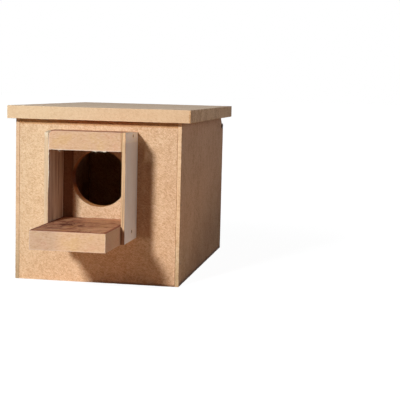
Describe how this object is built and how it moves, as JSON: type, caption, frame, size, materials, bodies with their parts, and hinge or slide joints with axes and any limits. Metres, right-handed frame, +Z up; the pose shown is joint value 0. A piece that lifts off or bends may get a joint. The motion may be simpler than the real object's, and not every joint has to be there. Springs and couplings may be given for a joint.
{
  "type": "bird nest box",
  "caption": "Small wooden nest box for cage birds: round entrance under a porch with a landing board, and a lid hinged at the back on nails.",
  "frame": {"origin": "middle of the box's base, between the outer faces of the side panels and between their front and back edges", "axes": "+X to the box's right seen from the front, +Y from the porch to the back, +Z up"},
  "size_m": [0.1645, 0.3325, 0.1555],
  "materials": {
    "mdf_board": "bare sawn fibreboard",
    "side_board": "bare thin fibreboard",
    "pale_strip": "bare planed strip",
    "beech": "bare sawn beech",
    "pine": "bare planed pine",
    "steel_nail": "dull bright wire"
  },
  "bodies": {
    "box": {"front_panel": "mdf_board", "back_panel": "mdf_board", "floor_panel": "mdf_board", "left_side": "side_board", "right_side": "side_board", "porch_left_cheek": "pale_strip", "porch_right_cheek": "pale_strip", "porch_top_block": "beech", "landing_board": "beech", "left_side_pins": "steel_nail", "right_side_pins": "steel_nail", "left_cheek_nails": "steel_nail", "right_cheek_nails": "steel_nail", "top_block_nails": "steel_nail", "landing_board_nails": "steel_nail"},
    "lid": {"lid_board": "mdf_board", "hinge_batten": "pine", "lid_nails": "steel_nail", "left_pivot_nail": "steel_nail", "right_pivot_nail": "steel_nail"}
  },
  "joints": [
    {"name": "lid_hinge", "type": "hinge", "parent": "box", "child": "lid", "pos_m": [0, 0.1095, 0.134], "axis": [-1, 0, 0], "range_deg": [0, 80]}
  ]
}
